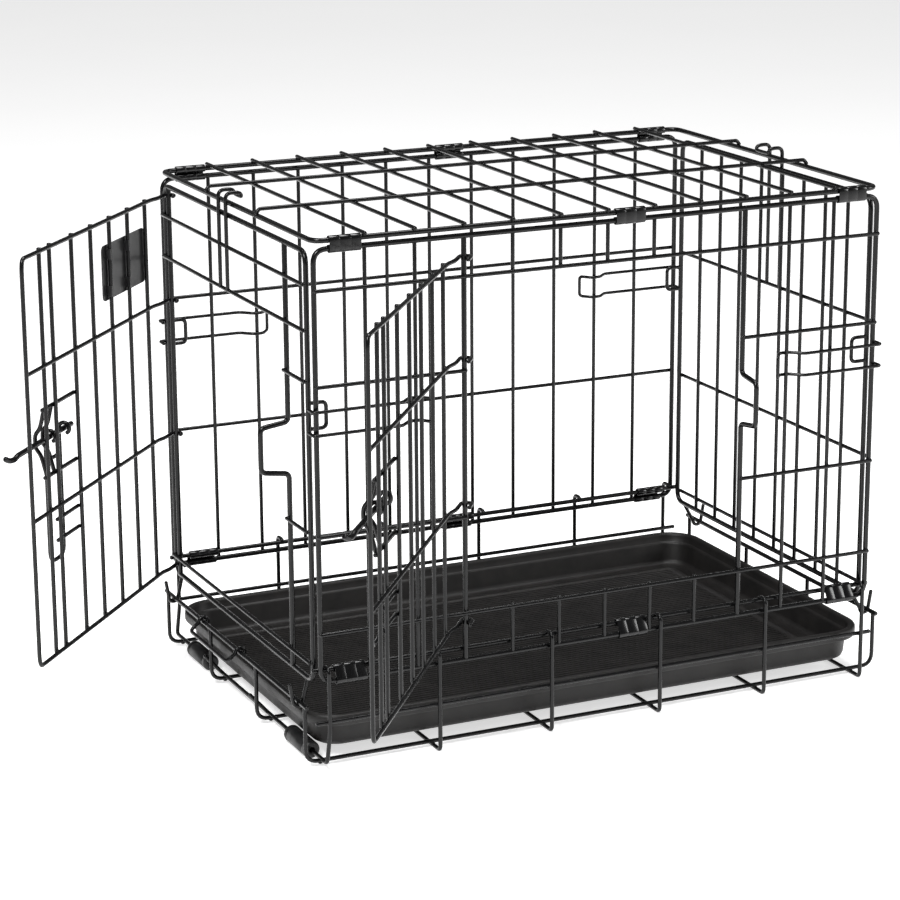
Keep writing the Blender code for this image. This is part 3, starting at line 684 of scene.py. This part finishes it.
# ---- side loops, clips, pan stop ----
def side_loop(name, side_x, side_y):
    """Loop that passes behind its upright and hooks past the corner post with two tips."""
    outer = 0.00615
    behind = -(THIN + LOOP_WIRE + EYE_GAP) + 0.0004
    path_out = [(0.2352, -0.0040), (0.2352, outer), (0.167, outer), (0.158, behind), (0.150, behind),
                (0.143, outer)]
    lower = [(x, out, LOOP_Z[0]) for x, out in path_out]
    upper = [(x, out, LOOP_Z[1]) for x, out in reversed(path_out)]
    path = [(side_x * x, side_y * (HALF_W + out), z) for x, out, z in lower + upper]
    place(drawing([run(path, LOOP_WIRE, bend=0.003)]), name + "_wire", "coated_wire", name, [name])


def clip_path(lower, upper, reach):
    """Line of the sheet rolled round both rails, as (distance out, height) points."""
    low, high = Vector(lower), Vector(upper)
    along = (high - low).normalized()
    out = Vector((along.y, -along.x))
    path = []
    for k in range(17):
        a = math.radians(-50 + 230 * k / 16)
        path.append(low - out * reach * math.cos(a) - along * reach * math.sin(a))
    for k in range(17):
        a = math.radians(180 - 230 * k / 16)
        path.append(high - out * reach * math.cos(a) + along * reach * math.sin(a))
    return path


def hinge_clip(name, x, side, lower, upper):
    """Rolled sheet with two shallow pressed grooves, given as (place along it, depth)."""
    stations = ((-0.5, 0.0), (-0.20, 0.0), (-0.18, 0.00018), (-0.16, 0.0),
                (0.16, 0.0), (0.18, 0.00018), (0.20, 0.0), (0.5, 0.0))
    bm = bmesh.new()
    rows = []
    for along, depth in stations:
        path = clip_path(lower, upper, HEAVY + GAP + CLIP_SHEET / 2 + 0.00010 - depth)
        rows.append([bm.verts.new((x + along * CLIP_LENGTH, side * p.x, p.y)) for p in path])
    for first, second in zip(rows, rows[1:]):
        for i in range(len(first) - 1):
            bm.faces.new((first[i], first[i + 1], second[i + 1], second[i]))
    bmesh.ops.recalc_face_normals(bm, faces=bm.faces)
    ob = from_bmesh(bm)
    sheet = ob.modifiers.new("sheet", "SOLIDIFY")
    sheet.thickness = CLIP_SHEET * 0.9
    sheet.offset = 0.0
    edge = ob.modifiers.new("edge", "BEVEL")
    edge.width = 0.00018
    edge.segments = 2
    edge.limit_method = "ANGLE"
    edge.angle_limit = math.radians(50)
    ob = applied(ob)
    ob.data.shade_smooth()
    ob.data.set_sharp_from_angle(angle=math.radians(35))
    place(ob, name + "_sheet", "coated_clip", "crate", [name])


def hinge_clips():
    top = ((HALF_W, PANEL_TOP), (HALF_W, TOP_Z))
    bottom = ((HALF_W, PANEL_LOW), (FLOOR_RAIL_Y, FLOOR_RAIL_Z))
    rows = (("top", top, (-0.2075, 0.018, 0.2075)), ("bottom", bottom, (-0.2075, 0.024, 0.2075)))
    for row, rails, places in rows:
        for side, side_name in ((-1, "front"), (1, "back")):
            for x, spot in zip(places, ("left", "middle", "right")):
                hinge_clip(f"hinge_clip_{row}_{side_name}_{spot}", x, side, *rails)


def pan_stop():
    """Swinging loop that hangs on the left raised rail by two eyes."""
    reach = MEDIUM + THIN + EYE_GAP
    eye = arc((-LEFT_RAIL_X, END_RAIL_Z), reach, -30, 180, 12)
    x, z = -LEFT_RAIL_X - 0.0110, END_RAIL_Z - 0.0060
    eye_x, eye_z = eye[-1]
    corners = [(eye_x, -0.016, eye_z), (x, -0.016, z), (x, 0.065, z), (eye_x, 0.065, eye_z)]
    bar = eased(corners, 0.005, False)
    half = [(ex, -0.016, ez) for ex, ez in eye[:-1]]
    other = [(ex, 0.065, ez) for ex, ez in reversed(eye[:-1])]
    path = half + [tuple(p) for p in bar] + other
    place(drawing([run(path)]), "pan_stop_wire", "coated_wire", "pan_stop", ["pan_stop"])


# ---- pan and roller feet ----
def pan():
    """Moulded tray: rolled lip with a step, sloping wall, ribbed floor border and even thickness."""
    profile = ((0.0004, 0.0292), (0.0, 0.0300), (0.0, 0.0350), (0.0005, 0.0358), (0.0014, 0.0361),
               (0.0034, 0.0361), (0.0042, 0.0356), (0.0047, 0.0345), (0.0052, 0.0300), (0.0060, 0.0292),
               (0.0070, 0.0288), (0.0076, 0.0278), (0.0090, 0.0145), (0.0102, 0.0120), (0.0125, 0.0107),
               (0.0150, 0.0105), (0.0230, 0.0105), (0.0236, 0.0112), (0.0252, 0.0112), (0.0258, 0.0105))
    bm = bmesh.new()
    loops = []
    for inset, z in profile:
        outline = rounded_outline(PAN_HALF_X - inset, PAN_HALF_Y - inset, max(0.028 - inset, 0.006), 12)
        loops.append([bm.verts.new((PAN_X + x, y, z)) for x, y in outline])
    for first, second in zip(loops, loops[1:]):
        for i, vert in enumerate(first):
            j = (i + 1) % len(first)
            bm.faces.new((vert, first[j], second[j], second[i]))
    bm.faces.new(loops[-1])
    bmesh.ops.recalc_face_normals(bm, faces=bm.faces)
    ob = from_bmesh(bm, 60)
    shell = ob.modifiers.new("shell", "SOLIDIFY")
    shell.thickness = PAN_WALL * 0.9
    shell.offset = 0.0
    shell.use_even_offset = True
    ob = applied(ob)
    bm = bmesh.new()
    bm.from_mesh(ob.data)
    floor_ribs(bm)
    pan_feet(bm)
    bm.to_mesh(ob.data)
    bm.free()
    place(ob, "pan_tray", "pan_plastic", "pan", ["pan"])


def floor_ribs(bm):
    """Fine low ribs moulded along the floor, inside the border rib."""
    half_x, half_y = PAN_HALF_X - 0.030, PAN_HALF_Y - 0.030
    top = PAN_BOTTOM + PAN_WALL * 0.45
    count = 56
    for k in range(count + 1):
        y = -half_y + 2 * half_y * k / count
        size = Matrix.Diagonal((2 * half_x, 0.0011, 0.0007, 1.0))
        bmesh.ops.create_cube(bm, size=1.0, matrix=Matrix.Translation((PAN_X, y, top)) @ size)


def pan_feet(bm):
    foot_low = FLOOR_WIRE * 2 + STACK_FLOOR + GAP
    height = PAN_BOTTOM - foot_low
    for x in (-0.150, 0.150):
        for y in FLOOR_WIRES_Y[1:3]:
            spot = Matrix.Translation((x, y, foot_low + height / 2))
            bmesh.ops.create_cone(bm, cap_ends=True, segments=24, radius1=0.0065, radius2=0.0085,
                                  depth=height, matrix=spot)


def roller(name, y):
    """Turned roller: round ends, a parting-line ridge and a grip groove near each end."""
    half = ROLLER_LENGTH / 2
    outer = []
    for k in range(7):
        a = math.radians(90 * k / 6)
        outer.append((ROLLER_R - 0.0020 + 0.0020 * math.sin(a), half - 0.0020 + 0.0020 * math.cos(a)))
    groove = ROLLER_R - 0.0003
    outer += [(ROLLER_R, half - 0.0050), (groove, half - 0.0054), (groove, half - 0.0062),
              (ROLLER_R, half - 0.0066), (ROLLER_R, 0.0)]
    bore = FLOOR_WIRE + EYE_GAP
    profile = [(bore, half - 0.0006), (bore + 0.0006, half)] + outer
    profile += [(r, -z) for r, z in reversed(profile[:-1])]
    steps = 40
    bm = bmesh.new()
    rings = []
    for k in range(steps):
        a = 2 * math.pi * k / steps
        seam = 1.0 if k % (steps // 2) else 1.012
        rings.append([bm.verts.new((r * seam * math.cos(a) if r > 0.004 else r * math.cos(a), z,
                                    r * math.sin(a))) for r, z in profile])
    for k in range(steps):
        first, second = rings[k], rings[(k + 1) % steps]
        for i in range(len(profile)):
            j = (i + 1) % len(profile)
            bm.faces.new((first[i], first[j], second[j], second[i]))
    bmesh.ops.recalc_face_normals(bm, faces=bm.faces)
    ob = from_bmesh(bm, 50)
    spot = AT_CENTRE @ Matrix.Translation((-ROLLER_X, y, ROLLER_R))
    place(ob, name + "_body", "roller_plastic", name, [name], spot)


# ---- stage, lights and camera ----
def stage():
    bm = bmesh.new()
    bmesh.ops.create_grid(bm, x_segments=1, y_segments=1, size=6.0)
    floor = from_bmesh(bm)
    floor.name = "studio_floor"
    mat = bpy.data.materials.new("studio_floor")
    mat.use_nodes = True
    tree = mat.node_tree
    shader = tree.nodes["Principled BSDF"]
    coords = node(tree, "ShaderNodeTexCoord").outputs["Object"]
    tint = ramp(tree, noise(tree, coords, 3.0), (0.90, 0.90, 0.90), (0.92, 0.92, 0.92))
    tree.links.new(tint, shader.inputs["Base Color"])
    shader.inputs["Roughness"].default_value = 0.7
    shader.inputs["Emission Color"].default_value = (1.0, 1.0, 1.0, 1.0)
    shader.inputs["Emission Strength"].default_value = 0.62
    floor.data.materials.append(mat)


def area_light(name, spot, target, size, power):
    light = bpy.data.lights.new(name, "AREA")
    light.shape = "RECTANGLE"
    light.size, light.size_y = size
    light.energy = power
    ob = bpy.data.objects.new(name, light)
    ob.location = spot
    ob.rotation_euler = (Vector(target) - Vector(spot)).to_track_quat("-Z", "Y").to_euler()
    bpy.context.scene.collection.objects.link(ob)


def lights():
    world = bpy.data.worlds.new("studio")
    world.use_nodes = True
    tree = world.node_tree
    dim = tree.nodes["Background"]
    dim.inputs["Color"].default_value = (1.0, 1.0, 1.0, 1.0)
    dim.inputs["Strength"].default_value = 0.16
    seen = node(tree, "ShaderNodeBackground")
    seen.inputs["Color"].default_value = (1.0, 1.0, 1.0, 1.0)
    seen.inputs["Strength"].default_value = 1.0
    paths = node(tree, "ShaderNodeLightPath")
    mix = node(tree, "ShaderNodeMixShader")
    tree.links.new(paths.outputs["Is Camera Ray"], mix.inputs["Fac"])
    tree.links.new(dim.outputs["Background"], mix.inputs[1])
    tree.links.new(seen.outputs["Background"], mix.inputs[2])
    tree.links.new(mix.outputs["Shader"], tree.nodes["World Output"].inputs["Surface"])
    bpy.context.scene.world = world
    middle_spot = (CENTRE.x, CENTRE.y, 0.2)
    area_light("key_light", (-1.3, -1.0, 2.0), middle_spot, (0.7, 0.7), 46.0)
    area_light("top_light", (0.3, 0.2, 2.4), middle_spot, (1.4, 1.0), 46.0)
    area_light("side_light", (2.0, -1.2, 1.0), middle_spot, (0.5, 1.0), 16.0)


def camera():
    """Long lens, level to within half a degree, aimed down at the crate from its left front."""
    yaw, pitch, roll = 0.43419, 0.27007, -0.00636
    forward = Vector((math.sin(yaw) * math.cos(pitch), math.cos(yaw) * math.cos(pitch), -math.sin(pitch)))
    data = bpy.data.cameras.new("photo_view")
    data.sensor_width = 36.0
    data.lens = 115.6
    ob = bpy.data.objects.new("photo_view", data)
    ob.location = CENTRE + Vector((-0.9731, -1.9802, 0.7862))
    turn = forward.to_track_quat("-Z", "Y") @ Matrix.Rotation(roll, 3, "Z").to_quaternion()
    ob.rotation_euler = turn.to_euler()
    bpy.context.scene.collection.objects.link(ob)
    bpy.context.scene.camera = ob


def main():
    camera()
    stage()
    lights()
    floor_panel()
    front_panel()
    back_panel()
    top_panel()
    left_end_panel()
    right_end_panel()
    side = door_matrix("side_door_hinge", 0.0)
    end = door_matrix("end_door_hinge", -90.0)
    door("side_door", SIDE_DOOR_W, SIDE_DOOR_LEVELS, SIDE_LATCH_Z, side, (0.172, 0.156), 0.004)
    door("end_door", END_DOOR_W, END_DOOR_LEVELS, END_LATCH_Z, end, (0.170, 0.154), 0.0)
    bolt("side_bolt", SIDE_DOOR_W, SIDE_LATCH_Z, side)
    bolt("end_bolt", END_DOOR_W, END_LATCH_Z, end)
    paddle("side_paddle", SIDE_DOOR_W, SIDE_LATCH_Z, side)
    paddle("end_paddle", END_DOOR_W, END_LATCH_Z, end)
    id_plate(end)
    for side_name, side_y in (("front", -1), ("back", 1)):
        side_loop(f"side_loop_{side_name}_left", -1, side_y)
        side_loop(f"side_loop_{side_name}_right", 1, side_y)
    hinge_clips()
    pan_stop()
    pan()
    roller("roller_foot_back", 0.100)
    roller("roller_foot_front", -0.111)
    bpy.context.scene.view_settings.view_transform = "Standard"


main()
